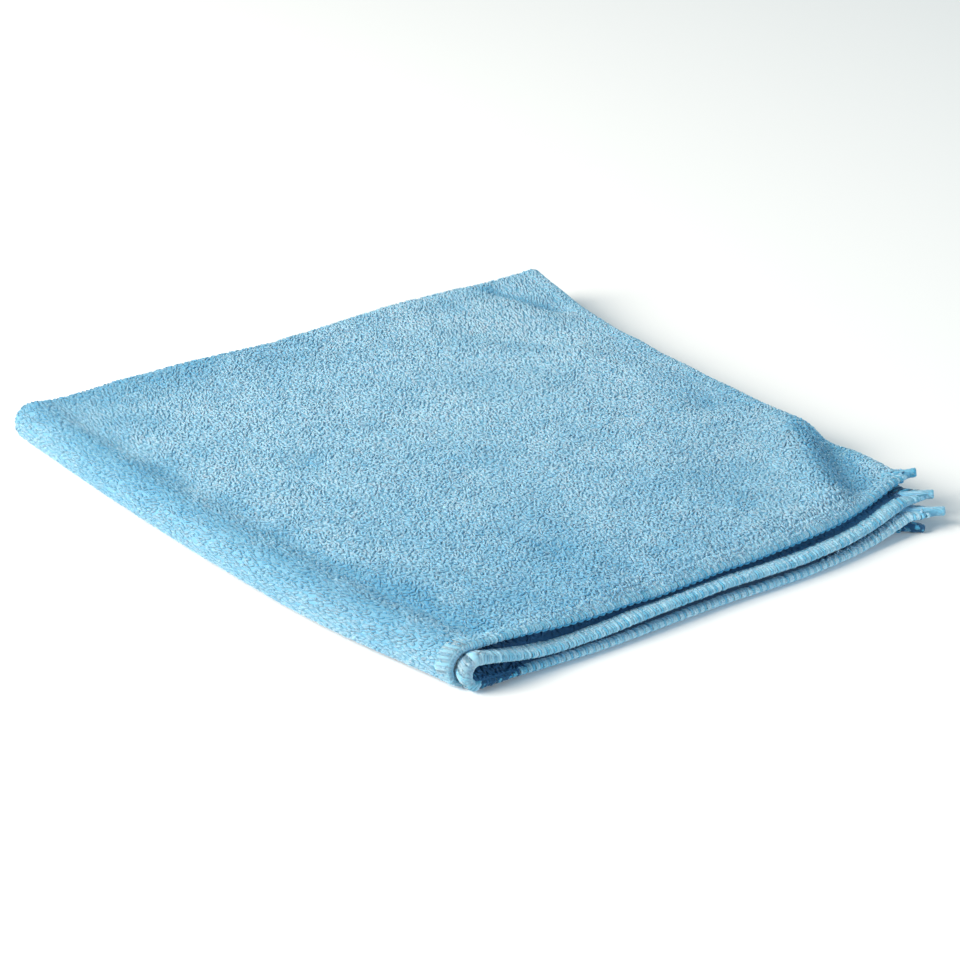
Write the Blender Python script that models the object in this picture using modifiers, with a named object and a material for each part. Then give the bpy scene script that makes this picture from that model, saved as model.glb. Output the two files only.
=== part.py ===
"""A light blue microfibre cloth, folded in quarters and lying flat.

One square of cloth is folded in half twice. The first fold is at the back
(+Y) and lays two plies on each other. The second is on the left (-X) and
turns that pair under itself, so four plies lie in the stack:

    ply 1   on top, outer         ply 3   second from below, inner
    ply 2   second, inner         ply 4   on the table, outer

Plies 1 and 4 wrap round the outside of the left fold, and plies 2 and 3 lie
inside it. The open edges face the front (-Y) and the right (+X). The four
corners of the cloth meet at the front right, each with a short tail where
the overlocked edge runs off the corner.

Lengths are in metres, +Z is up, and the origin is on the table under the
middle of the cloth.
"""

import math

import bpy
import numpy as np

# The flat cloth is a square. A ply is half of it each way.
CLOTH_SIDE = 0.400
PLY_SIDE = CLOTH_SIDE / 2.0
THICKNESS = 0.0024

# Half the length of cloth that each fold's bend takes up.
LEFT_BEND_OUTER = 0.0082
LEFT_BEND_INNER = 0.0029
BACK_BEND = 0.0025

# Plan of the stack: the middle of each bend, and what the folds share.
LEFT_CORNER = (-0.0960, 0.1100)
PLAN_CENTRE = (-0.00124, -0.00022)

# How far a side bows outwards at each quarter of its length, from the left
# corner onwards. Both ends of a side stay where its corners are.
LEFT_FOLD_BOW = (0.0, 0.0040, 0.0064, 0.0062, 0.0)
BACK_FOLD_BOW = (0.0, 0.0024, 0.0014, 0.0054, 0.0)

# The plies from the top down. "near" is the front end of the left fold,
# "far" the right end of the back fold, and "tip" the cloth's own corner, from
# which its tail runs. Heights are those of the ply's middle surface, and
# "swell" is how much higher the ply lies beside the left fold.
PLY_COLUMNS = (
    "height", "swell", "near_x", "near_y", "far_x", "far_y",
    "tip_x", "tip_y", "tail_x", "tail_y", "tail_z",
)
PLY_ROWS = (
    (0.0108, 0.0009, -0.0848, -0.1045, 0.1010, 0.0985,
     0.0895, -0.0975, 0.0035, -0.0012, 0.0002),
    (0.0076, 0.0005, -0.0834, -0.1092, 0.1010, 0.0985,
     0.0875, -0.1050, 0.0060, -0.0012, -0.0004),
    (0.0044, 0.0000, -0.0834, -0.1092, 0.0990, 0.0980,
     0.0855, -0.1092, 0.0062, -0.0040, 0.0002),
    (0.0012, 0.0000, -0.0848, -0.1045, 0.0990, 0.0980,
     0.0765, -0.1048, 0.0075, -0.0078, 0.0000),
)
PLIES = {name: np.array(column) for name, column in zip(PLY_COLUMNS, zip(*PLY_ROWS))}

# The open edges of plies 1 to 4. The front edge is read from the left fold
# to the tip, the right edge from the back fold to the tip.
FRONT_EDGE_BOW = (
    (0.0, 0.0028, 0.0050, 0.0057, 0.0),
    (0.0, 0.0030, 0.0037, 0.0048, 0.0),
    (0.0, 0.0030, 0.0030, 0.0040, 0.0),
    (0.0, -0.0010, -0.0015, -0.0030, 0.0),
)
RIGHT_EDGE_BOW = (
    (0.0, -0.0046, -0.0034, -0.0004, 0.0),
    (0.0, -0.0030, -0.0014, 0.0010, 0.0),
    (0.0, -0.0020, 0.0000, 0.0022, 0.0),
    (0.0, -0.0030, 0.0010, 0.0040, 0.0),
)

# Height of each ply's middle surface at its front edge, at every eighth of
# the edge from the left fold to the tip. The inner plies hang down past the
# outer ply 4, and open out again beside the fold.
FRONT_EDGE_HEIGHT = (
    (0.0117, 0.0106, 0.0102, 0.0101, 0.0101, 0.0101, 0.0103, 0.0109, 0.0124),
    (0.0096, 0.0067, 0.0059, 0.0058, 0.0058, 0.0058, 0.0060, 0.0070, 0.0087),
    (0.0023, 0.0017, 0.0016, 0.0016, 0.0016, 0.0016, 0.0017, 0.0026, 0.0050),
    (0.0012,) * 9,
)

# How far in from the front edge that height reaches, at each quarter.
FRONT_EDGE_REACH = (0.0060, 0.0085, 0.0085, 0.0085, 0.0060)

# Soft ridges and troughs of the upper plies, each along a line from its start
# to its end. The lifts are those of plies 1 to 4.
CREASE_COLUMNS = ("start", "end", "half_width", "lifts")
CREASE_ROWS = (
    # The far corner stands up a little, beyond a trough.
    ((0.103, 0.100), (0.103, 0.100), 0.022, (0.0019, 0.0014, 0.0006, 0.0)),
    ((0.084, 0.103), (0.092, 0.062), 0.006, (-0.0004, -0.0003, 0.0, 0.0)),
    # The valley that cuts off the front right corner.
    ((0.096, -0.040), (0.066, -0.098), 0.007, (-0.0006, -0.0004, -0.0002, 0.0)),
    # The trough behind the left fold, and the low ridge across the back.
    ((-0.086, 0.075), (-0.078, -0.085), 0.009, (-0.0005, -0.0003, -0.0001, 0.0)),
    ((0.010, 0.095), (0.080, 0.040), 0.012, (0.0003, 0.0002, 0.0, 0.0)),
)
CREASES = [dict(zip(CREASE_COLUMNS, row)) for row in CREASE_ROWS]
SWELL_REACH = 0.014

# How the tail grows out of the tip: it is full within the first distance from
# the corner, and gone beyond the second.
TAIL_FULL = 0.0018
TAIL_ROOT = 0.0068

# Grid lines of the flat cloth, as distances from a fold line and from an open
# edge. Between them the lines are spread evenly.
LINES_FROM_LEFT_FOLD = (0.0, 0.00075, 0.0015, 0.0022, 0.0029, 0.0042, 0.0055, 0.0068, 0.0082)
LINES_FROM_BACK_FOLD = (0.0, 0.0006, 0.00125, 0.0019, 0.0025)
LINES_FROM_OPEN_EDGE = (0.0, 0.0018, 0.0035, 0.0051, 0.0068, 0.0095)
LINES_BETWEEN = 9

BLUE = (0.26, 0.52, 0.68, 1.0)


def mix(low, high, share):
    """The value that lies the given share of the way from low to high."""
    return low + (high - low) * share


def smooth_step(value, start, end):
    """Rise from 0 at start to 1 at end, level at both."""
    share = np.clip((value - start) / (end - start), 0.0, 1.0)
    return share * share * (3.0 - 2.0 * share)


def curve_through(values, share):
    """Smooth curve through evenly spaced values, read at a share of its length."""
    values = np.asarray(values, dtype=float)
    before = 2.0 * values[0] - values[1]
    after = 2.0 * values[-1] - values[-2]
    knots = np.concatenate([[before], values, [after]])
    place = np.clip(share, 0.0, 1.0) * (len(values) - 1)
    first = np.minimum(place.astype(int), len(values) - 2)
    part = place - first
    a, b, c, d = (knots[first + step] for step in range(4))
    bend = 2.0 * a - 5.0 * b + 4.0 * c - d
    twist = 3.0 * (b - c) + d - a
    return b + 0.5 * part * (c - a + part * (bend + part * twist))


def between_plies(values, upper, outer):
    """Blend a value of plies 1 to 4 by how far up and how far out a point is."""
    top, second, third, bottom = values
    return mix(mix(third, bottom, outer), mix(second, top, outer), upper)


def crease_lift(crease, x, y):
    """A crease's height at a point, as a share of its lift."""
    start = np.array(crease["start"])
    along = np.array(crease["end"]) - start
    length_squared = max(float(along @ along), 1e-12)
    share = ((x - start[0]) * along[0] + (y - start[1]) * along[1]) / length_squared
    share = np.clip(share, 0.0, 1.0)
    away_x = x - start[0] - share * along[0]
    away_y = y - start[1] - share * along[1]
    return np.exp(-(away_x**2 + away_y**2) / crease["half_width"] ** 2)


def plan(across, down, upper, outer):
    """Where a point lies on the table, given its shares across and down the ply."""
    left_x, left_y = LEFT_CORNER
    near_x = between_plies(PLIES["near_x"], upper, outer)
    near_y = between_plies(PLIES["near_y"], upper, outer)
    far_x = between_plies(PLIES["far_x"], upper, outer)
    far_y = between_plies(PLIES["far_y"], upper, outer)
    tip_x = between_plies(PLIES["tip_x"], upper, outer)
    tip_y = between_plies(PLIES["tip_y"], upper, outer)
    x = mix(mix(left_x, far_x, across), mix(near_x, tip_x, across), down)
    y = mix(mix(left_y, far_y, across), mix(near_y, tip_y, across), down)

    front = between_plies([curve_through(bow, across) for bow in FRONT_EDGE_BOW], upper, outer)
    right = between_plies([curve_through(bow, down) for bow in RIGHT_EDGE_BOW], upper, outer)
    x += right * across - curve_through(LEFT_FOLD_BOW, down) * (1.0 - across)
    y += curve_through(BACK_FOLD_BOW, across) * (1.0 - down) - front * down
    return x, y


def ply_heights(across, down, x, y):
    """Height of the middle surface of each of the four plies at a point."""
    from_left = across * PLY_SIDE
    from_front = (1.0 - down) * PLY_SIDE
    swell = np.exp(-((from_left / SWELL_REACH) ** 2))
    hem = 1.0 - smooth_step(from_front / curve_through(FRONT_EDGE_REACH, across), 0.0, 1.0)
    heights = []
    for ply in range(4):
        height = PLIES["height"][ply] + PLIES["swell"][ply] * swell
        for crease in CREASES:
            height = height + crease["lifts"][ply] * crease_lift(crease, x, y)
        edge = curve_through(FRONT_EDGE_HEIGHT[ply], across)
        heights.append(mix(height, edge, hem))
    return heights


def folded(width_at, depth_at):
    """Place points of the flat cloth's middle surface in the folded stack.

    Both are measured from the fold lines. Along the width, the upper plies
    are positive, and along the depth, the outer plies are.
    """
    back_turn = np.clip(depth_at / BACK_BEND, -1.0, 1.0) * math.pi / 2.0
    outer = (1.0 + np.sin(back_turn)) / 2.0
    down = (np.abs(depth_at) - BACK_BEND) / (PLY_SIDE - BACK_BEND)
    down = np.clip(down, 0.0, 1.0)

    bend = mix(LEFT_BEND_INNER, LEFT_BEND_OUTER, outer)
    left_turn = np.clip(width_at / bend, -1.0, 1.0) * math.pi / 2.0
    upper = (1.0 + np.sin(left_turn)) / 2.0
    across = np.clip((np.abs(width_at) - bend) / (PLY_SIDE - bend), 0.0, 1.0)

    x, y = plan(across, down, upper, outer)
    first, second, third, fourth = ply_heights(across, down, x, y)
    high = mix(second, first, outer)
    low = mix(third, fourth, outer)
    z = mix(low, high, upper)
    x -= (high - low) / 2.0 * np.cos(left_turn)
    y += mix(third - fourth, first - second, upper) / 2.0 * np.cos(back_turn)

    from_tip = np.hypot(1.0 - across, 1.0 - down) * PLY_SIDE
    tail = 1.0 - smooth_step(from_tip, TAIL_FULL, TAIL_ROOT)
    x += between_plies(PLIES["tail_x"], upper, outer) * tail
    y += between_plies(PLIES["tail_y"], upper, outer) * tail
    z += between_plies(PLIES["tail_z"], upper, outer) * tail
    return np.column_stack([x - PLAN_CENTRE[0], y - PLAN_CENTRE[1], z])


def grid_lines(from_fold):
    """Grid lines of the flat cloth on both sides of a fold line."""
    from_edge = [PLY_SIDE - distance for distance in reversed(LINES_FROM_OPEN_EDGE)]
    even = np.linspace(from_fold[-1], from_edge[0], LINES_BETWEEN + 2)[1:-1]
    one_side = np.concatenate([from_fold, even, from_edge])
    return np.concatenate([-one_side[:0:-1], one_side])


def cloth_material():
    """Dull light blue of the microfibre."""
    material = bpy.data.materials.new("microfibre_blue")
    material.use_nodes = True
    shader = material.node_tree.nodes["Principled BSDF"]
    shader.inputs["Base Color"].default_value = BLUE
    shader.inputs["Roughness"].default_value = 0.95
    shader.inputs["Metallic"].default_value = 0.0
    return material


def make_cloth():
    """The cloth as one closed sheet: a flat grid, folded and given its thickness."""
    columns = grid_lines(LINES_FROM_LEFT_FOLD)
    rows = grid_lines(LINES_FROM_BACK_FOLD)
    bpy.ops.mesh.primitive_grid_add(
        x_subdivisions=len(columns) - 1, y_subdivisions=len(rows) - 1, size=2.0
    )
    cloth = bpy.context.object
    cloth.name = "cloth"
    cloth.data.name = "cloth"

    flat = np.empty(len(cloth.data.vertices) * 3)
    cloth.data.vertices.foreach_get("co", flat)
    flat = flat.reshape(-1, 3)
    column = np.rint((flat[:, 0] + 1.0) / 2.0 * (len(columns) - 1)).astype(int)
    row = np.rint((flat[:, 1] + 1.0) / 2.0 * (len(rows) - 1)).astype(int)
    cloth.data.vertices.foreach_set("co", folded(columns[column], rows[row]).ravel())
    cloth.data.update()

    shell = cloth.modifiers.new("thickness", "SOLIDIFY")
    shell.thickness = THICKNESS
    shell.offset = 0.0
    shell.use_quality_normals = True
    cloth.data.shade_smooth()
    cloth.data.materials.append(cloth_material())
    return cloth


def main():
    for leftover in list(bpy.data.objects):
        bpy.data.objects.remove(leftover)
    collection = bpy.data.collections.new("microfibre_cloth")
    bpy.context.scene.collection.children.link(collection)
    cloth = make_cloth()
    for holder in list(cloth.users_collection):
        holder.objects.unlink(cloth)
    collection.objects.link(cloth)


main()
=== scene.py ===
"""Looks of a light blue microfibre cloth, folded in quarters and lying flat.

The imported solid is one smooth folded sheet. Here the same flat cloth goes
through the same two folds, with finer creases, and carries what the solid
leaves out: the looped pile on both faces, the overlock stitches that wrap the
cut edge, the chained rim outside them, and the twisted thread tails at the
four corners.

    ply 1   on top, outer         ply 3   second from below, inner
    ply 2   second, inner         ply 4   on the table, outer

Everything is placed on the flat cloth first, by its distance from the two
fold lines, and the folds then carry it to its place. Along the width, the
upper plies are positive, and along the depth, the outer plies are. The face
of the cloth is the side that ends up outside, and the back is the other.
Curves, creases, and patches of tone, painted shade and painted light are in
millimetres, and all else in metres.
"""

import math

import bpy
import numpy as np
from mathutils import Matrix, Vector

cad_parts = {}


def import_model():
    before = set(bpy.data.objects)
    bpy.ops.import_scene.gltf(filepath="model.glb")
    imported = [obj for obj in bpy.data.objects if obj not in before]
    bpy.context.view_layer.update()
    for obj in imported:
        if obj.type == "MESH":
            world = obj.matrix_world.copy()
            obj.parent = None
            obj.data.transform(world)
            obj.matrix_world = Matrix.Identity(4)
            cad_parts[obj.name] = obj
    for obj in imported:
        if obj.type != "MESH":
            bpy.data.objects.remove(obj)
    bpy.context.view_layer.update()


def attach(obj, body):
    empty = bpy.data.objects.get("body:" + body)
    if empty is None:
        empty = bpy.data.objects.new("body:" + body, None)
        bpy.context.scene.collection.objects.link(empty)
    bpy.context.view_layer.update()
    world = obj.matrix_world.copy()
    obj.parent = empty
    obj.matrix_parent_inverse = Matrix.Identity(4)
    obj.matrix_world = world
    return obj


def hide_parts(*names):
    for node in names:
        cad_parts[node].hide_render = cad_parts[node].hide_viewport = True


def table(columns, *rows):
    """Rows of a table, each with its values by column name."""
    return [dict(zip(columns, row)) for row in rows]


# ---------------- the fold
# The cloth's size, bends and corners are the part's own. Its creases, swell and
# sag are finer here, and the lowest ply's hidden front edge lies further in.
MILLIMETRE = 0.001
CLOTH_SIDE = 0.400
PLY_SIDE = CLOTH_SIDE / 2.0
# Flat cloth that a fold takes up on each side of its line.
LEFT_BEND_OUTER = 0.0082
LEFT_BEND_INNER = 0.0029
BACK_BEND = 0.0025
# The left corner of every ply, and the middle of the outline.
LEFT_CORNER = (-0.0960, 0.1100)
PLAN_CENTRE = (-0.00124, -0.00022)
# How far a side bows outwards, at each quarter of its length.
LEFT_FOLD_BOW = (0, 4, 6.4, 6.2, 0)
BACK_FOLD_BOW = (0, 2.4, 1.4, 5.4, 0)
# For plies 1 to 4: height of the middle surface, swell beside the left fold,
# the corners near the front of the left fold and at the far right, the tip
# where the open edges meet, and how far the tail carries that tip further.
PLY_COLUMNS = (
    "height", "swell", "near_x", "near_y", "far_x", "far_y",
    "tip_x", "tip_y", "tail_x", "tail_y", "tail_z",
)
PLY_ROWS = (
    (0.0108, 0.0014, -0.0848, -0.1045, 0.1010, 0.0985,
     0.0895, -0.0975, 0.0035, -0.0012, 0.0002),
    (0.0076, 0.0010, -0.0834, -0.1092, 0.1010, 0.0985,
     0.0875, -0.1050, 0.0060, -0.0012, -0.0004),
    (0.0044, 0.0000, -0.0834, -0.1092, 0.0990, 0.0980,
     0.0855, -0.1092, 0.0062, -0.0040, 0.0002),
    (0.0012, 0.0000, -0.0848, -0.1045, 0.0990, 0.0980,
     0.0765, -0.1048, 0.0075, -0.0078, 0.0000),
)
PLIES = {name: np.array(column) for name, column in zip(PLY_COLUMNS, zip(*PLY_ROWS))}
# How far from the left fold the swell reaches, at each quarter from the back.
SWELL_REACH = (6, 6.4, 9.5, 9, 5.8)
# The open edges, one row a ply: how far they bow outwards at each quarter.
FRONT_EDGE_BOW = (
    (0, 2.8, 5, 5.7, 0),
    (0, 3, 3.7, 5.8, 0),
    (0, 3, 3, 4.2, 0),
    (0, -5.5, -6, -7.5, 0),
)
RIGHT_EDGE_BOW = (
    (0, -4.6, -3.4, -0.4, 0),
    (0, -3, -1.4, 1, 0),
    (0, -2, 0, 2.2, 0),
    (0, -3, 1, 4, 0),
)
# Height of each ply's front edge, at each eighth from the left fold.
FRONT_EDGE_HEIGHT = (
    (12, 10.7, 8.7, 8.3, 8.3, 8.4, 8.3, 8.9, 12.1),
    (9.2, 5.3, 5, 5.3, 5.2, 5.1, 4.9, 5.5, 8),
    (2.3, 1.7, 1.5, 1.5, 1.4, 1.3, 1.3, 2.1, 5),
    (1.2,) * 9,
)
# How far in from its front edge each ply begins to sag, and where it has sagged.
FRONT_SAG_START = (
    (6, 6.4, 6.8, 7.2, 7.4, 7.6, 7.8, 7.5, 6.5),
    (6, 9.2, 11.4, 11.4, 11.3, 12.4, 13.6, 11, 6.5),
    (6, 9.5, 12, 12.2, 12.3, 13.4, 14.6, 10, 5),
    (6,) * 9,
)
FRONT_SAG_END = (
    (0,) * 9,
    (0, 3, 5, 4.8, 4.5, 5.5, 6.2, 4, 0),
    (0, 3.6, 6, 5.8, 5.6, 6.6, 7.6, 3.5, 0),
    (0,) * 9,
)
# Creases, in millimetres: where one starts and ends on the table's plan, half
# its width, and how far it lifts plies 1 to 4.
CREASES = table(
    ("start", "end", "half_width", "lifts"),
    # The far corner stands up a little, beyond a ridge and a short trough.
    ((103, 100), (103, 100), 20, (2.1, 1.6, 0.7, 0)),
    ((72, 92), (80, 62), 6, (0.8, 0.5, 0.2, 0)),
    ((81.2, 95), (88, 70), 4.2, (-1.4, -1, -0.5, 0)),
    # A low ridge curves round that corner, further in.
    ((10, 72), (45, 60), 7, (0.7, 0.3, 0, 0)),
    ((45, 60), (69, 36), 6, (0.8, 0.4, 0, 0)),
    ((69, 36), (74, 12), 6, (0.7, 0.3, 0, 0)),
    # A fold cuts off the front right corner: its crest, then its valley.
    ((84, -50), (61, -92), 7, (2.4, 1.6, 0.7, 0)),
    ((90.5, -60), (72, -94), 5.2, (-2, -1.4, -0.7, 0)),
    # The shallow dish beside that fold.
    ((53, -62), (53, -62), 14, (-0.9, -0.5, -0.2, 0)),
    # The trough behind the left fold, deeper towards the front.
    ((-89.5, 92), (-86, -4), 5, (-0.7, -0.4, -0.1, 0)),
    ((-85, -14), (-83, -58), 4.8, (-1.1, -0.7, -0.3, 0)),
    ((-82, -66), (-76.5, -94), 4.8, (-1.5, -1, -0.5, 0)),
    # Small dents.
    ((78, -22), (78, -22), 6, (-0.9, -0.5, -0.2, 0)),
    ((-49, 21), (-49, 21), 7, (-0.9, -0.5, -0.2, 0)),
    ((-47, -81), (-47, -81), 8, (-0.8, -0.4, 0, 0)),
    ((-25, -70), (-25, -70), 7, (-0.8, -0.4, 0, 0)),
    ((-18, -95), (-18, -95), 6, (-0.6, -0.3, 0, 0)),
    ((-9, 97), (-9, 97), 9, (-0.9, -0.5, -0.2, 0)),
    ((-79, 96), (-79, 96), 8, (-0.7, -0.4, -0.1, 0)),
    ((32, -19), (32, -19), 8, (-0.6, -0.3, 0, 0)),
)
# The tail is full this near the tip, and begins this far from it.
TAIL_FULL = 0.0018
TAIL_ROOT = 0.0068
# How far each ply strays up and down, and how far apart its humps are.
UNEVENNESS = (0.00030, 0.00020, 0.00008, 0.0)
HUMP_SPACING = 0.012
HUMP_SEED = 11
# Random humps reach this far from the plan's middle.
NOISE_REACH = 0.16
NOISE_SPREAD = 0.6
# Half the distance over which the cloth's directions are measured.
FRAME_STEP = 0.0002

# ---------------- the ground
# The knitted ground inside the pile and stitches. Its grid is finer in the
# bends and in the hem.
GROUND_THICKNESS = 0.0017
GROUND_EDGE_INSET = 0.0009
GROUND_SPACING = 0.0032
GROUND_HEM = 0.0095
GROUND_HEM_LINES = 6
GROUND_LEFT_STEPS = 10
GROUND_BACK_STEPS = 5
# How much lower the ground's faces lie under the pile, and where they dip.
GROUND_DIP = 0.00014
GROUND_DIP_SPAN = (0.0030, 0.0060)
# Shades of the ground, and the spans over which they change: inwards from the edge,
# across the back fold, and away from a tip. The dark and inner shades are painted
# shade between the plies, and the stitched shade is painted shade in the gaps
# between the stitches.
DARK_SHADE = -0.1
INNER_SHADE = 0.2
STITCHED_SHADE = 0.7
PILE_SHADE = 1.0
TIP_FACE_SHADE = 0.9
TIP_BACK_SHADE = 0.7
PILE_SHADE_SPAN = (0.0040, 0.0062)
OUTSIDE_SPAN = (-0.0040, 0.0)
TIP_SPAN = (0.0030, 0.0060)
# The third ply's face, below both of these places, lies in the dark.
DARK_DEPTH = -0.004
DARK_WIDTH = 0.003
# Where its faces and the strip round the edge lie on the flat map.
FACE_MAP = (0.01, 0.08)
BACK_MAP = (0.51, 0.08)
MAP_SIZE = (0.48, 0.9)
RIM_MAP = (0.02, 0.05)

# ---------------- the pile
# Loops of pile are closed spindles that stand in rows along the depth.
LOOP_RINGS = 3
LOOP_SIDES = 3
LOOP_ROOT = 0.00025
# Along a loop: share of its length from its middle, share of its height, and girth.
LOOP_ROWS = (
    (-0.50, 0.00, 0.00),
    (-0.32, 0.75, 0.85),
    (0.00, 1.00, 1.15),
    (0.32, 0.75, 0.85),
    (0.50, 0.00, 0.00),
)
# Sizes of the loops that stand this far apart. The others are in proportion.
TOP_SPACING = 0.00112
LOOP_LENGTHS = (0.0018, 0.0029)
LOOP_WIDTHS = (0.00090, 0.00135)
LOOP_FLATNESS = 0.40
LOOP_HEIGHT = 0.00029
LOOP_HEIGHT_SPREAD = 0.00006
LOOP_HEIGHT_LIMITS = (0.00014, 0.00050)
CLUMP_HEIGHT = 0.00005
CLUMP_SPACING = 0.0034
LOOP_BOW = 0.00035
LOOP_LEAN = 0.00020
LOOP_TURN = 0.14
# How far a loop strays from its place, as a share of the spacing.
STRAY_ACROSS = 0.9
STRAY_ALONG = 1.0
# The rows of loops run a little askew to the cloth's edges, and the other way
# near the left fold.
ROW_SLANT = -0.20
SLANT_TURN = 1.5
SLANT_REACH = 0.034
# Loops are lower round the left fold and over the back fold.
LOW_FOLD_REACH = 0.016
LOW_BACK_SPAN = (0.0010, 0.0060)
# The stitched hem, and how much higher loops start on it.
HEM_WIDTH = 0.0052
HEM_RISE = 0.0008
HEM_LIFT = 0.00042
# Where loops stand on the flat cloth. "side" is 1 on the face and -1 on the
# back, and "spacing" is the distance from one loop to the next.
HEM_LINE = PLY_SIDE - HEM_WIDTH
EDGE_LINE = PLY_SIDE - 0.0015
GAP_LINE = PLY_SIDE - 0.0036
DEEP_LINE = PLY_SIDE - 0.0054
INSIDE = PLY_SIDE - 0.013
# Round the left fold the hem's wraps show. Most loops are left out there: those
# that stray across by less than this, from -0.5 to 0.5.
BARE_HEM = 0.0095
BARE_STRAY = 0.2
PILES = table(
    ("name", "width_from", "width_to", "depth_from", "depth_to", "side", "spacing"),
    ("pile_top_left", -0.0082, 0.0600, -0.0025, EDGE_LINE, 1, TOP_SPACING),
    ("pile_top_middle", 0.0600, 0.1290, -0.0025, EDGE_LINE, 1, TOP_SPACING),
    ("pile_top_right", 0.1290, EDGE_LINE, -0.0025, EDGE_LINE, 1, TOP_SPACING),
    ("pile_back_lower", -EDGE_LINE, -0.0082, -0.0030, 0.0110, 1, 0.0013),
    ("pile_underside", -HEM_LINE, -0.0082, 0.0110, HEM_LINE, 1, 0.0034),
    ("pile_second_under", 0.0, HEM_LINE, -HEM_LINE, -INSIDE, 1, 0.0018),
    ("pile_second_upper", 0.0, HEM_LINE, -DEEP_LINE, -INSIDE, -1, 0.0014),
    ("pile_second_hem", 0.014, 0.189, -EDGE_LINE, -GAP_LINE, -1, 0.0012),
    ("pile_third_hem", -EDGE_LINE, -0.150, -EDGE_LINE, -GAP_LINE, 1, 0.0012),
    ("pile_inner_fold", -0.022, -0.0005, -EDGE_LINE, -INSIDE, 1, 0.0012),
    ("pile_first_under", 0.0, HEM_LINE, INSIDE, HEM_LINE, -1, 0.0018),
    ("pile_third_upper", -HEM_LINE, 0.0, -HEM_LINE, -INSIDE, 1, 0.0018),
)
# These lie in the dark between the plies.
DARK_PILES = ("pile_second_upper", "pile_first_under", "pile_inner_fold")
# A loop's shade and how much it varies, on the open cloth and on the inner hems.
OPEN_SHADE = 0.58
HEM_SHADE = 0.78
OPEN_SHADE_SPREAD = 0.10
HEM_SHADE_SPREAD = 0.06
# A band of painted shade runs along the middle of the left fold.
ROLL_MIDDLE = 0.0065
ROLL_REACH = 0.0055
ROLL_SHADE = -0.46
# How far the loops lie along their rows: everywhere, beside the left fold, and
# round two corners.
PULL_BASE = 0.42
PULL_LIMIT = 0.95
FOLD_PULL = 0.5
FOLD_PULL_AT = -0.098
FOLD_PULL_REACH = 0.013
PULLS = table(
    ("x", "y", "reach", "pull"),
    (0.080, 0.080, 0.045, 0.45),
    (-0.075, 0.100, 0.035, 0.40),
)
# Random mottling of the pile: how strong, how far apart, and its seed.
MOTTLE_ROWS = ((0.10, 0.016, 21), (0.13, 0.006, 22))
# Patches of painted shade and painted light, which deepen the creases, troughs and
# front and brighten the rises, and of deeper or paler tone, with their places and
# widths in millimetres.
PAINTED_SHADE_AND_TONES = table(
    ("start", "end", "half_width", "tone"),
    # Painted shade and light along the creases round the far corner.
    ((80, 99), (86.8, 74.5), 3, -0.85),
    ((94, 93), (94, 93), 10, 0.14),
    ((70, 69), (74, 53), 9, 0.16),
    ((10, 48), (52, 70), 30, 0.08),
    ((68, 102), (76, 99), 10, -0.18),
    ((32, 67), (58, 59), 5, -0.10),
    ((56, 55.5), (70.5, 42), 4, -0.30),
    ((20, 86), (66, 75), 10, 0.12),
    ((56, 36), (72, 20), 12, 0.15),
    # Beside the right edge.
    ((83, 6), (79, -18), 6, -0.34),
    ((92, 0), (96, -55), 6, -0.22),
    ((50, -38), (50, -38), 8, -0.16),
    ((54, -61), (54, -61), 11, -0.22),
    # Painted shade in the valley of the front right fold, and patches beside it.
    ((92.5, -53), (74, -88), 6.6, -1.35),
    ((90, 2), (88, -4), 8, 0.16),
    ((88, -20), (86, -24), 6, -0.20),
    ((46, -58), (38, -86), 9, -0.14),
    # Painted shade along the front.
    ((-4, -94), (12, -88), 8, -0.14),
    ((-26, -68), (-18, -76), 8, -0.14),
    ((-58, -86), (-50, -90), 10, -0.20),
    ((-40, -85), (-40, -85), 45, -0.28),
    ((20, -62), (20, -54), 12, -0.12),
    # Painted shade in the trough behind the left fold, and one paler spot.
    ((-94, 62), (-86, -10), 8, -0.16),
    ((-84, 14), (-84, 12), 6, -0.20),
    ((-84, -12), (-84, -40), 7, -0.42),
    ((-82, -46), (-78, -66), 6, -0.38),
    ((-78, -66), (-74, -93), 6.2, -0.55),
    ((-100, -90), (-98, -104), 12, 0.16),
    # Near the left corner, and a spot further in.
    ((-82, 108), (-40, 102), 12, -0.34),
    ((-96, 113), (-8, 111), 7, -0.34),
    ((-86, 82), (-74, 74), 12, -0.16),
    ((-92, 77), (-86, 72), 6, -0.28),
    ((-76, 85), (-73, 81), 6, -0.20),
    ((-63, 96), (-60, 92), 6, -0.20),
    ((-90, 48), (-87, 38), 6, -0.28),
    ((-87, 13), (-85, 8), 6, -0.16),
    ((-84, 67), (-75, 60), 7, 0.16),
    ((-98, 92), (-94, 88), 6, 0.12),
    ((-58, 72), (-40, 60), 14, 0.10),
    ((-50, 22), (-50, 22), 7, -0.32),
    ((-10, 98), (-2, 90), 10, -0.24),
)

# ---------------- the stitches
# The stitches stop short of the corners, where their threads run off as tails.
STITCH_PITCH = 0.0026
STRANDS_PER_STITCH = 3
STITCH_END = 0.0034
# Where the spacing of the stitches is measured, and in how many steps.
PITCH_INSET = 0.0010
PITCH_STEPS = 4001
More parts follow.
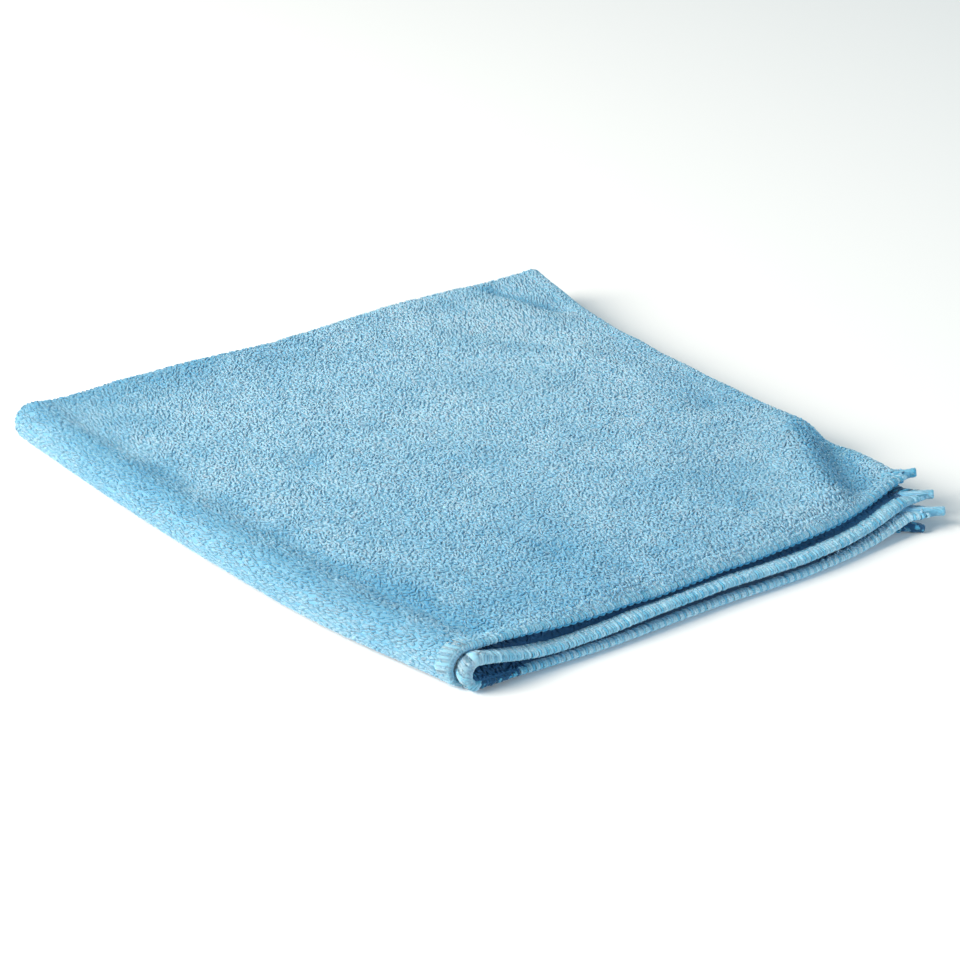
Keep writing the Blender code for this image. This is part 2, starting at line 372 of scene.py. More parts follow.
# One strand of a stitch, from the needle line on the face round the edge to the
# back: distance from the cloth's outline, height over the middle surface, how
# far the strands of a stitch lie apart, and how far along the edge they have
# slanted.
STRAND_COLUMNS = ("inset", "height", "spread", "slant")
STRAND_ROWS = (
    (0.0056, 0.00040, 1.00, -0.00110),
    (0.0048, 0.00082, 1.00, -0.00095),
    (0.0034, 0.00094, 1.00, -0.00065),
    (0.0018, 0.00096, 0.96, -0.00030),
    (0.0007, 0.00080, 0.86, -0.00010),
    (0.0002, 0.00000, 0.80, 0.00000),
    (0.0007, -0.00085, 0.84, 0.00010),
    (0.0018, -0.00100, 0.94, 0.00030),
    (0.0034, -0.00096, 1.00, 0.00065),
    (0.0048, -0.00082, 1.00, 0.00095),
    (0.0056, -0.00040, 1.00, 0.00110),
)
STRAND = {name: np.array(column) for name, column in zip(STRAND_COLUMNS, zip(*STRAND_ROWS))}
ON_FACE = STRAND["height"] > 0.0
ON_BACK = STRAND["height"] < 0.0
STRAND_OVERLAP = 1.80
STRAND_HEIGHT = 0.00046
STRAND_SIDES = 4
# No strand comes nearer to a corner than this.
STRAND_END = 0.0006
# How the strands stray: along the edge, and in their share of inset and height.
STRAND_WANDER = 0.00007
INSET_SPREAD = 0.02
HEIGHT_SPREAD = 0.06
# Near the corners the stitches grow flatter.
CORNER_SPAN = (0.0022, 0.0060)
CORNER_HEIGHT = 0.55
# Round the left fold they are wider and smoother, and stand out further inside.
FOLD_REACH = 0.011
FOLD_WIDTH = 0.40
FOLD_BACK_HEIGHT = 1.20
FOLD_EVENNESS = 0.6
# Within this distance of the outline a strand faces outwards.
ROUND_INSET = 0.0022
ROUND_SPAN = 0.0018
ROUND_HALF = 0.0012
# Between one stitch and the next the thread carries painted shade where it bends
# round the edge, but it is never black.
STRAND_SHADE = 0.5
STRAND_SHADE_SPREAD = 0.2
BETWEEN_SHADE = 0.38
BETWEEN_DEPTH = 1.5
BETWEEN_INSET = 0.0020
# Strands sink and carry painted shade in the hollow of the nested fold, on the third
# ply under the second, and on the second under the first.
HOLLOW_AT = -0.0080
HOLLOW_REACH = 0.0080
THIRD_LINES = (0.0032, 0.0044)
THIRD_SPAN = (0.150, 0.190)
THIRD_HALF = 0.0008
SECOND_LINES = (0.0046, 0.0030)
SECOND_SPAN = (0.040, 0.085)
SECOND_WIDTH = 0.0026
SECOND_START = 0.010
SECOND_SINK = 0.4
SINK = 0.6
DARK_DROP = 3.2
# The lower half of the nested fold's hem carries painted shade between these places.
FOLD_DARK_SPAN = (0.0015, 0.0050)
FOLD_LIGHT_SPAN = (0.010, 0.026)
FOLD_DROP = 3.0
# Beyond this, the third ply's hem carries painted light, most at its very edge, and
# painted shade on the first strand of each stitch.
LIT_SPAN = (0.030, 0.040)
LIT_SHADE = 0.38
LIT_BETWEEN = 0.48
LIT_RISE = 0.8
LIT_INSET = 0.0030
# The corners of the lowest and of the second ply lie in the shade of the others.
LOWEST_SPAN = (0.172, 0.184)
SECOND_CORNER = -0.184
SECOND_CORNER_DROP = 2.6
SECOND_CORNER_INSET = 0.0005
# The flat cloth's four edges, and the shade, sag and size of the chained rim on
# each, which lies deep between the wraps and is darkened with painted shade.
EDGES = table(
    ("name", "faces", "sign", "rim_shade", "rim_sag", "rim_size"),
    ("front_outer", "depth", 1.0, -0.20, 0.00100, 1.0),
    ("front_inner", "depth", -1.0, -0.10, 0.0, 0.75),
    ("right_upper", "width", 1.0, -0.10, 0.0, 1.0),
    ("right_lower", "width", -1.0, -0.10, 0.0, 1.0),
)
RIM_SAG_SPAN = (0.010, 0.035)
RIM_STEPS = 5
RIM_SIDES = 6
# How the rim waves with the stitches, and grows thinner near the corners.
RIM_INSET = 0.00085
RIM_INSET_WAVE = 0.00020
RIM_GIRTH = 0.00090
RIM_GIRTH_WAVE = 0.00016
RIM_SWAY = 0.00022
RIM_END_SPAN = (0.0025, 0.0060)
RIM_END_SIZE = 0.5

# The thread tails, plump strands that twist round each other.
TAIL_RINGS = 26
TAIL_STRANDS = 8
TAIL_SIDES = 6
TAIL_TWIST = 7.0
TAIL_INSETS = (0.0085, 0.0003)
TAIL_GROWTH = (0.05, 0.40)
TAIL_NARROWING = (0.35, 0.80)
# Half a tail's breadth and depth, and its strands' girth, first and last.
TAIL_BREADTHS = (0.00180, 0.00070)
TAIL_DEPTHS = (0.00010, 0.00075)
TAIL_THREADS = (0.0010, 0.00150)
TAIL_WANDER = 0.00016
TAIL_WAVES = 19.0
TAIL_WAVE_SHIFT = 2.1
# The tails of plies 1, 2, 4 and 3.
TAIL_SHADES = (0.12, 0.34, -0.36, 0.38)
TAIL_SHADE_SPREAD = 0.14
TAIL_RISE_SPREAD = 0.5
# The second ply's tail starts in shade. The lowest is all in shade, thicker than
# the others, and pointed.
SECOND_TAIL_DROP = 3.6
SECOND_TAIL_SPAN = (0.30, 0.62)
LOWEST_TAIL_DROP = 1.6
LOWEST_TAIL_SPAN = (0.30, 1.0)
LOWEST_TAIL_SIZES = (1.45, 0.70)
LOWEST_TAIL_POINT = (0.75, 1.0)


# ---------------- fold maths
def mix(low, high, share):
    """The value that lies the given share of the way from low to high."""
    return low + (high - low) * share


def smooth_step(value, start, end):
    """Rise from 0 at start to 1 at end, level at both."""
    share = np.clip((value - start) / (end - start), 0.0, 1.0)
    return share * share * (3.0 - 2.0 * share)


def curve_through(values, share):
    """Smooth curve through evenly spaced millimetres, read at a share of its length."""
    values = np.array(values) * MILLIMETRE
    before = 2.0 * values[0] - values[1]
    after = 2.0 * values[-1] - values[-2]
    knots = np.concatenate([[before], values, [after]])
    place = np.clip(share, 0.0, 1.0) * (len(values) - 1)
    first = np.minimum(place.astype(int), len(values) - 2)
    part = place - first
    a, b, c, d = (knots[first + step] for step in range(4))
    bend = 2.0 * a - 5.0 * b + 4.0 * c - d
    twist = 3.0 * (b - c) + d - a
    return b + 0.5 * part * (c - a + part * (bend + part * twist))


def between_plies(values, upper, outer):
    """Blend a value of plies 1 to 4 by how far up and how far out a point is."""
    top, second, third, bottom = values
    return mix(mix(third, bottom, outer), mix(second, top, outer), upper)


def crease_lift(crease, x, y):
    """A crease's height at a point, as a share of its lift."""
    start = np.array(crease["start"]) * MILLIMETRE
    along = np.array(crease["end"]) * MILLIMETRE - start
    length_squared = max(float(along @ along), 1e-12)
    share = ((x - start[0]) * along[0] + (y - start[1]) * along[1]) / length_squared
    share = np.clip(share, 0.0, 1.0)
    away_x = x - start[0] - share * along[0]
    away_y = y - start[1] - share * along[1]
    half_width = crease["half_width"] * MILLIMETRE
    return np.exp(-(away_x**2 + away_y**2) / half_width**2)


def soft_noise(x, y, spacing, seed):
    """Smooth random humps of about the given spacing, mostly from -1 to 1."""
    count = int(2.0 * NOISE_REACH / spacing) + 3
    lattice = np.random.default_rng(seed).normal(0.0, NOISE_SPREAD, (count, count))
    across = np.clip((x + NOISE_REACH) / spacing, 0.0, count - 2.001)
    down = np.clip((y + NOISE_REACH) / spacing, 0.0, count - 2.001)
    i = across.astype(int)
    j = down.astype(int)
    u = smooth_step(across - i, 0.0, 1.0)
    v = smooth_step(down - j, 0.0, 1.0)
    low = mix(lattice[i, j], lattice[i + 1, j], u)
    high = mix(lattice[i, j + 1], lattice[i + 1, j + 1], u)
    return mix(low, high, v)


def plan(across, down, upper, outer):
    """Where a point lies on the table, given its shares across and down the ply."""
    left_x, left_y = LEFT_CORNER
    near_x, near_y, far_x, far_y, tip_x, tip_y = (
        between_plies(PLIES[name], upper, outer)
        for name in ("near_x", "near_y", "far_x", "far_y", "tip_x", "tip_y")
    )
    x = mix(mix(left_x, far_x, across), mix(near_x, tip_x, across), down)
    y = mix(mix(left_y, far_y, across), mix(near_y, tip_y, across), down)

    front = between_plies([curve_through(bow, across) for bow in FRONT_EDGE_BOW], upper, outer)
    right = between_plies([curve_through(bow, down) for bow in RIGHT_EDGE_BOW], upper, outer)
    x += right * across - curve_through(LEFT_FOLD_BOW, down) * (1.0 - across)
    y += curve_through(BACK_FOLD_BOW, across) * (1.0 - down) - front * down
    return x, y


def ply_heights(across, down, x, y):
    """Height of the middle surface of each of the four plies at a point."""
    from_left = across * PLY_SIDE
    from_front = (1.0 - down) * PLY_SIDE
    swell = np.exp(-((from_left / curve_through(SWELL_REACH, down)) ** 2))
    heights = []
    for ply in range(4):
        height = PLIES["height"][ply] + PLIES["swell"][ply] * swell
        for crease in CREASES:
            lift = crease["lifts"][ply] * MILLIMETRE
            height = height + lift * crease_lift(crease, x, y)
        edge = curve_through(FRONT_EDGE_HEIGHT[ply], across)
        sag_start = curve_through(FRONT_SAG_START[ply], across)
        sag_end = curve_through(FRONT_SAG_END[ply], across)
        heights.append(mix(edge, height, smooth_step(from_front, sag_end, sag_start)))
    return heights


def folded(width_at, depth_at):
    """Place points of the flat cloth's middle surface in the folded stack."""
    shape = np.shape(width_at)
    width_at = np.ravel(width_at)
    depth_at = np.ravel(depth_at)
    back_turn = np.clip(depth_at / BACK_BEND, -1.0, 1.0) * math.pi / 2.0
    outer = (1.0 + np.sin(back_turn)) / 2.0
    down = (np.abs(depth_at) - BACK_BEND) / (PLY_SIDE - BACK_BEND)
    down = np.clip(down, 0.0, 1.0)

    bend = mix(LEFT_BEND_INNER, LEFT_BEND_OUTER, outer)
    left_turn = np.clip(width_at / bend, -1.0, 1.0) * math.pi / 2.0
    upper = (1.0 + np.sin(left_turn)) / 2.0
    across = np.clip((np.abs(width_at) - bend) / (PLY_SIDE - bend), 0.0, 1.0)

    x, y = plan(across, down, upper, outer)
    first, second, third, fourth = ply_heights(across, down, x, y)
    high = mix(second, first, outer)
    low = mix(third, fourth, outer)
    z = mix(low, high, upper)
    humps = soft_noise(x, y, HUMP_SPACING, HUMP_SEED)
    z += between_plies(UNEVENNESS, upper, outer) * humps
    x -= (high - low) / 2.0 * np.cos(left_turn)
    y += mix(third - fourth, first - second, upper) / 2.0 * np.cos(back_turn)

    from_tip = np.hypot(1.0 - across, 1.0 - down) * PLY_SIDE
    tail = 1.0 - smooth_step(from_tip, TAIL_FULL, TAIL_ROOT)
    x += between_plies(PLIES["tail_x"], upper, outer) * tail
    y += between_plies(PLIES["tail_y"], upper, outer) * tail
    z += between_plies(PLIES["tail_z"], upper, outer) * tail
    points = np.column_stack([x - PLAN_CENTRE[0], y - PLAN_CENTRE[1], z])
    return points.reshape(*shape, 3)


def unit(vectors):
    """The same directions with length 1."""
    length = np.linalg.norm(vectors, axis=-1, keepdims=True)
    return vectors / np.maximum(length, 1e-12)


def cloth_frame(width_at, depth_at):
    """Middle point, the face's outward normal, and the ways of growing width and depth."""
    step = FRAME_STEP
    point = folded(width_at, depth_at)
    along_width = folded(width_at + step, depth_at) - folded(width_at - step, depth_at)
    along_depth = folded(width_at, depth_at + step) - folded(width_at, depth_at - step)
    normal = unit(np.cross(along_depth, along_width))
    return point, normal, unit(along_width), unit(along_depth)


# ---------------- meshes
# Each tube has a cell of the flat map, and keeps off the cell's sides.
CELL_MARGIN = 0.06


def new_mesh(name, points, faces, uv, attributes):
    """Object with these points and faces. A face's unused last corner is -1.

    What would reach below the table is pressed flat on it.
    """
    points = np.array(points)
    points[:, 2] = np.maximum(points[:, 2], 0.0)
    faces = np.asarray(faces)
    used = faces >= 0
    sizes = used.sum(axis=1)
    corners = faces[used]
    mesh = bpy.data.meshes.new(name)
    mesh.vertices.add(len(points))
    mesh.vertices.foreach_set("co", np.asarray(points, dtype=np.float32).ravel())
    mesh.loops.add(len(corners))
    mesh.loops.foreach_set("vertex_index", corners.astype(np.int32))
    mesh.polygons.add(len(faces))
    starts = np.concatenate([[0], np.cumsum(sizes)[:-1]])
    mesh.polygons.foreach_set("loop_start", starts.astype(np.int32))
    mesh.update(calc_edges=True)
    layer = mesh.uv_layers.new(name="OFBake")
    layer.uv.foreach_set("vector", np.asarray(uv, dtype=np.float32)[used].ravel())
    for key, values in attributes.items():
        attribute = mesh.attributes.new(key, "FLOAT", "POINT")
        attribute.data.foreach_set("value", np.asarray(values, dtype=np.float32).ravel())
    mesh.shade_smooth()
    piece = bpy.data.objects.new(name, mesh)
    bpy.context.scene.collection.objects.link(piece)
    return piece


def tube_pattern(rings, sides):
    """Faces of a tube with pointed ends, and each corner's place on its skin.

    The tube's points are its first tip, its rings and its last tip.
    """
    last = rings * sides + 1
    faces = []
    places = []
    for side in range(sides):
        after = (side + 1) % sides
        left = side / sides
        right = (side + 1) / sides
        middle = (left + right) / 2.0
        step = 1.0 / (rings + 1)
        faces.append((0, 1 + after, 1 + side, -1))
        places.append(((middle, 0.0), (right, step), (left, step), (0.0, 0.0)))
        for ring in range(rings - 1):
            here = 1 + ring * sides
            there = here + sides
            near = (ring + 1) * step
            far = near + step
            faces.append((here + side, here + after, there + after, there + side))
            places.append(((left, near), (right, near), (right, far), (left, far)))
        end = 1 + (rings - 1) * sides
        far = rings * step
        faces.append((last, end + side, end + after, -1))
        places.append(((middle, 1.0), (left, far), (right, far), (0.0, 0.0)))
    return np.array(faces), np.array(places)


def tubes(name, path, up, width, height, sides, shade, rise):
    """Many tubes as one object.

    path holds each tube's points, tips included. up is a direction for each
    ring, and width and height are its size. shade is one value a tube, and
    rise one value a point along it.
    """
    count, path_length, _ = path.shape
    rings = path_length - 2
    middle = path[:, 1:-1]
    along = unit(path[:, 2:] - path[:, :-2])
    across = unit(np.cross(up, along))
    up = np.cross(along, across)
    turn = np.arange(sides) / sides * 2.0 * math.pi + math.pi / 2.0
    ring = (
        middle[:, :, None, :]
        + across[:, :, None, :] * np.cos(turn)[:, None] * width[:, :, None, None] / 2.0
        + up[:, :, None, :] * np.sin(turn)[:, None] * height[:, :, None, None] / 2.0
    )
    ring = ring.reshape(count, rings * sides, 3)
    points = np.concatenate([path[:, :1], ring, path[:, -1:]], axis=1)

    pattern, places = tube_pattern(rings, sides)
    per_tube = rings * sides + 2
    offset = np.arange(count)[:, None, None] * per_tube
    faces = np.where(pattern[None] < 0, -1, pattern[None] + offset).reshape(-1, 4)

    cells = int(math.ceil(math.sqrt(count)))
    cell = np.column_stack([np.arange(count) % cells, np.arange(count) // cells])
    places = CELL_MARGIN + (1.0 - 2.0 * CELL_MARGIN) * places
    uv = (cell[:, None, None, :] + places[None]) / cells
    uv = uv.reshape(-1, 4, 2)

    shade_at = np.repeat(shade, per_tube)
    rise_at = np.concatenate(
        [rise[:, :1], np.repeat(rise[:, 1:-1], sides, axis=1), rise[:, -1:]], axis=1
    )
    return new_mesh(
        name, points.reshape(-1, 3), faces, uv, {"shade": shade_at, "rise": rise_at}
    )


# ---------------- making the ground
def ground_lines(bend, bend_steps):
    """Grid lines of the ground on both sides of a fold line."""
    edge = PLY_SIDE - GROUND_EDGE_INSET
    hem = edge - np.linspace(0.0, GROUND_HEM, GROUND_HEM_LINES)[::-1]
    in_bend = np.linspace(0.0, bend, bend_steps + 1)
    count = int((hem[0] - bend) / GROUND_SPACING)
    between = np.linspace(bend, hem[0], count + 1)[1:-1]
    one_side = np.concatenate([in_bend, between, hem])
    return np.concatenate([-one_side[:0:-1], one_side])


def ground_faces(wide, deep):
    """Faces of the ground's face, of its back, and of the strip round them."""
    index = np.arange(wide * deep).reshape(wide, deep)
    lift = wide * deep
    a, b, c, d = index[:-1, :-1], index[1:, :-1], index[1:, 1:], index[:-1, 1:]
    face = np.stack([a, d, c, b], axis=-1).reshape(-1, 4)
    back = np.stack([a, b, c, d], axis=-1).reshape(-1, 4) + lift
    rim = np.concatenate([index[:-1, 0], index[-1, :-1], index[:0:-1, -1], index[0, :0:-1]])
    after = np.roll(rim, -1)
    return face, back, np.stack([rim, after, after + lift, rim + lift], axis=-1)


def ground_map(width_at, depth_at, face, back, strip):
    """Each corner's place on the flat map: the face, the back, then the strip."""
    share = np.column_stack([
        width_at.ravel() / CLOTH_SIDE + 0.5,
        depth_at.ravel() / CLOTH_SIDE + 0.5,
    ])
    at = np.concatenate([share * MAP_SIZE + FACE_MAP, share * MAP_SIZE + BACK_MAP])
    here = np.arange(len(strip)) / len(strip)
    there = here + 1.0 / len(strip)
    low, high = RIM_MAP
    strip_at = np.empty((len(strip), 4, 2))
    strip_at[..., 0] = np.column_stack([here, there, there, here])
    strip_at[..., 1] = (low, low, high, high)
    return np.concatenate([at[face], at[back], strip_at])


def ground_shade(width_at, depth_at, from_edge):
    """Shade of each point of the face, then of the back; between plies, painted shade."""
    inside = smooth_step(from_edge, *PILE_SHADE_SPAN)
    outside = smooth_step(depth_at, *OUTSIDE_SPAN)
    under_pile = mix(INNER_SHADE, PILE_SHADE, outside)
    open_shade = mix(STITCHED_SHADE, under_pile, inside)
    in_dark = (depth_at < DARK_DEPTH) & (width_at < DARK_WIDTH)
    face = np.where(in_dark, DARK_SHADE, open_shade)
    from_tip = np.hypot(PLY_SIDE - np.abs(width_at), PLY_SIDE - np.abs(depth_at))
    tip = 1.0 - smooth_step(from_tip, *TIP_SPAN)
    # The lowest ply's tip stays as dark as the rest of it.
    tip = tip * ((width_at > 0.0) | (depth_at < 0.0))
    face = mix(face, TIP_FACE_SHADE, tip)
    back = mix(DARK_SHADE, TIP_BACK_SHADE, tip)
    return np.concatenate([face.ravel(), back.ravel()])


def make_ground():
    """The knitted ground: one closed sheet, its two faces and the strip between them."""
    columns = ground_lines(LEFT_BEND_OUTER, GROUND_LEFT_STEPS)
    rows = ground_lines(BACK_BEND, GROUND_BACK_STEPS)
    width_at, depth_at = np.meshgrid(columns, rows, indexing="ij")
    point, normal, _, _ = cloth_frame(width_at, depth_at)
    from_edge = PLY_SIDE - np.maximum(np.abs(width_at), np.abs(depth_at))
    half = GROUND_THICKNESS / 2.0 - GROUND_DIP * smooth_step(from_edge, *GROUND_DIP_SPAN)
    face_points = point + normal * half[..., None]
    back_points = point - normal * half[..., None]
    points = np.concatenate([face_points.reshape(-1, 3), back_points.reshape(-1, 3)])

    face, back, strip = ground_faces(len(columns), len(rows))
    faces = np.concatenate([face, back, strip])
    uv = ground_map(width_at, depth_at, face, back, strip)
    shade = ground_shade(width_at, depth_at, from_edge)
    return new_mesh("cloth_ground", points, faces, uv, {"shade": shade})


# ---------------- making the pile
def row_pull(x, y):
    """From 0 to 1, how far the loops at a point lie along their rows."""
    pull = PULL_BASE + FOLD_PULL * np.exp(-(((x - FOLD_PULL_AT) / FOLD_PULL_REACH) ** 2))
    for spot in PULLS:
        away_squared = (x - spot["x"]) ** 2 + (y - spot["y"]) ** 2
        pull = pull + spot["pull"] * np.exp(-away_squared / spot["reach"] ** 2)
    return np.clip(pull, 0.0, PULL_LIMIT)


def pile_tone_and_painted_shade(x, y):
    """How much deeper or paler the pile is at a point, partly as painted shade and light."""
    tone = 0.0
    for strength, spacing, seed in MOTTLE_ROWS:
        tone = tone + strength * soft_noise(x, y, spacing, seed)
    for patch in PAINTED_SHADE_AND_TONES:
        tone = tone + patch["tone"] * crease_lift(patch, x, y)
    return tone


def loop_places(pile, random):
    """Flat places of the loops of one stretch, each a little off its grid point."""
    width = pile["width_to"] - pile["width_from"]
    depth = pile["depth_to"] - pile["depth_from"]
    columns = max(int(width / pile["spacing"]), 1)
    rows = max(int(depth / pile["spacing"]), 1)
    column, at_row = np.meshgrid(np.arange(columns) + 0.5, np.arange(rows) + 0.5)
    stray = random.uniform(-0.5, 0.5, (2, column.size))
    width_at = pile["width_from"] + (column.ravel() + STRAY_ACROSS * stray[0]) * width / columns
    depth_at = pile["depth_from"] + (at_row.ravel() + STRAY_ALONG * stray[1]) * depth / rows
    on_hem = (depth_at > HEM_LINE + HEM_RISE) & (width_at < BARE_HEM)
    kept = ~(on_hem & (stray[0] < BARE_STRAY))
    return width_at[kept], depth_at[kept]


def make_pile(pile, seed):
    """Loops of one stretch of pile."""
    random = np.random.default_rng(seed)
    width_at, depth_at = loop_places(pile, random)
    count = len(width_at)
    point, normal, along_width, along_depth = cloth_frame(width_at, depth_at)
    normal = normal * pile["side"]
    x, y = point[:, 0], point[:, 1]
    from_middle = np.maximum(np.abs(width_at), np.abs(depth_at))
    hem = smooth_step(from_middle, HEM_LINE, HEM_LINE + HEM_RISE)
    base = point + normal * (GROUND_THICKNESS / 2.0 + HEM_LIFT * hem)[:, None]

    pull = row_pull(x, y)
    free = random.uniform(-math.pi / 2.0, math.pi / 2.0, count)
    slant = ROW_SLANT * (1.0 - SLANT_TURN * np.exp(-((width_at / SLANT_REACH) ** 2)))
    turned = slant + free * (1.0 - pull) + random.normal(0.0, LOOP_TURN, count)
    along = unit(along_depth * np.cos(turned)[:, None] + along_width * np.sin(turned)[:, None])
    across = np.cross(normal, along)

    scale = pile["spacing"] / TOP_SPACING
    length = random.uniform(*LOOP_LENGTHS, count) * scale
    length = length * (1.0 - 0.35 * hem) * (1.0 + 0.20 * pull**2)
    wide = random.uniform(*LOOP_WIDTHS, count) * scale
    wide = wide * (1.0 - 0.20 * hem) * (1.0 - 0.25 * pull**2)
    tall = random.normal(LOOP_HEIGHT, LOOP_HEIGHT_SPREAD, count)
    tall = tall + CLUMP_HEIGHT * soft_noise(x, y, CLUMP_SPACING, seed + 50)
    tall = np.clip(tall, *LOOP_HEIGHT_LIMITS)
    at_fold = np.exp(-((width_at / LOW_FOLD_REACH) ** 2))
    at_back = 1.0 - smooth_step(depth_at, *LOW_BACK_SPAN)
    tall = tall * (1.0 - 0.25 * hem) * (1.0 - 0.35 * at_fold) * (1.0 - 0.45 * at_back)
    bow = random.uniform(-LOOP_BOW, LOOP_BOW, count) * (1.0 - pull)
    lean = random.normal(0.0, LOOP_LEAN, count)

    path = np.empty((count, LOOP_RINGS + 2, 3))
    for place, (share, lift, _) in enumerate(LOOP_ROWS):
        reach = share * length + lean * lift
        rise = lift * (tall - wide * LOOP_FLATNESS / 2.0) - (1.0 - lift) * LOOP_ROOT
        path[:, place] = (
            base
            + along * reach[:, None]
            + across * (bow * lift)[:, None]
            + normal * rise[:, None]
        )
    up = np.repeat(normal[:, None], LOOP_RINGS, axis=1)
    width = wide[:, None] * np.array([girth for _, _, girth in LOOP_ROWS[1:-1]])
    if pile["name"].endswith("hem"):
        shade = HEM_SHADE + HEM_SHADE_SPREAD * random.normal(0.0, 1.0, count)
    else:
        shade = OPEN_SHADE + OPEN_SHADE_SPREAD * random.normal(0.0, 1.0, count)
        # Mottling, and patches of painted shade, painted light and tone.
        shade = shade + pile_tone_and_painted_shade(x, y)
    # The band of painted shade along the left fold.
    shade = shade + ROLL_SHADE * np.exp(-(((width_at - ROLL_MIDDLE) / ROLL_REACH) ** 2))
    shade = np.clip(shade, 0.0, 1.0)
    # Painted shade at a loop's roots, fading out towards its crest.
    rise = np.tile([lift for _, lift, _ in LOOP_ROWS], (count, 1))
    return tubes(
        pile["name"], path, up, width, width * LOOP_FLATNESS, LOOP_SIDES, shade, rise
    )


# ---------------- making the stitches
def on_edge(edge, along, inset):
    """Flat position of a point near an edge: its place along it and its inset."""
    off = edge["sign"] * (PLY_SIDE - inset)
    if edge["faces"] == "depth":
        return along, off
    return off, along


def stitch_places(edge):
    """Places along an edge, a stitch apart when measured on the folded cloth."""
    fine = np.linspace(-PLY_SIDE + STITCH_END, PLY_SIDE - STITCH_END, PITCH_STEPS)
    points = folded(*on_edge(edge, fine, np.full(fine.shape, PITCH_INSET)))
    run = np.linalg.norm(np.diff(points, axis=0), axis=1)
    run = np.concatenate([[0.0], np.cumsum(run)])
    count = int(round(run[-1] / STITCH_PITCH))
    return np.interp((np.arange(count) + 0.5) / count * run[-1], run, fine)


def fold_shade(place):
    """From 0 to 1, how much painted shade the lower half of the nested fold's hem carries."""
    darker = smooth_step(-place, *FOLD_DARK_SPAN)
    return darker * (1.0 - smooth_step(-place, *FOLD_LIGHT_SPAN))


def between_plies_shade(place):
    """Painted shade of the inner front edge's strands, from 0 to 1, and how far they sink."""
    hollow = np.exp(-(((place - HOLLOW_AT) / HOLLOW_REACH) ** 2))
    line = mix(*THIRD_LINES, smooth_step(-place, *THIRD_SPAN))
    third = smooth_step(STRAND["inset"], line - THIRD_HALF, line + THIRD_HALF)
    line = mix(*SECOND_LINES, smooth_step(place, *SECOND_SPAN))
    second = smooth_step(STRAND["inset"], line, line + SECOND_WIDTH)
    below = (place < 0.0) * ON_FACE * np.maximum(hollow, third)
    above = (place > SECOND_START) * ON_BACK * second
    return np.maximum(below, above), np.maximum(below, SECOND_SINK * above)


def strand_ups(normal, outward):
    """Which way the skin of each strand faces, ring by ring."""
    tilt = np.arctan2(STRAND["height"], ROUND_HALF)
    near_edge = smooth_step(ROUND_INSET - STRAND["inset"], 0.0, ROUND_SPAN)
    off_cloth = np.sign(STRAND["height"]) * (1.0 - near_edge) + np.sin(tilt) * near_edge
    off_edge = near_edge * np.cos(tilt)
    up = normal * off_cloth[None, :, None] + outward * off_edge[None, :, None]
    return unit(up)[:, 1:-1]


def strand_tone(edge, place, at_fold, dark, random):
    """Shade of each strand, and rise of each of its points."""
    count = len(place)
    spread = STRAND_SHADE_SPREAD * (1.0 - FOLD_EVENNESS * at_fold.ravel())
    shade = np.clip(STRAND_SHADE + random.normal(0.0, 1.0, count) * spread, 0.0, 1.0)
    first = np.arange(count) % STRANDS_PER_STITCH == 0
    shade = np.maximum(shade, BETWEEN_SHADE * first)
    rise = np.ones((count, len(STRAND_ROWS)))
    rise[:, 0] = 0.0
    rise[:, -1] = 0.0
    # Painted shade between the plies, between stitches, in the nested fold and at the shaded
    # corners, and painted light on the third ply's hem.
    rise = rise - DARK_DROP * dark
    between = first[:, None] * (1.0 - at_fold)
    rise = rise - BETWEEN_DEPTH * between * (STRAND["inset"] < BETWEEN_INSET)
    if edge["name"] == "front_inner":
        rise = rise - FOLD_DROP * fold_shade(place)
        lit = smooth_step(-place, *LIT_SPAN)
        shade = shade + (LIT_SHADE - LIT_BETWEEN * first) * lit.ravel()
        rise = rise + LIT_RISE * lit * (STRAND["inset"] < LIT_INSET)
    if edge["name"] in ("front_outer", "right_lower"):
        end = -place if edge["name"] == "front_outer" else place
        rise = rise - DARK_DROP * smooth_step(end, *LOWEST_SPAN)
    if edge["name"] == "right_upper":
        behind = (place < SECOND_CORNER) * ON_BACK * (STRAND["inset"] > SECOND_CORNER_INSET)
        rise = rise - SECOND_CORNER_DROP * behind
    return shade, rise


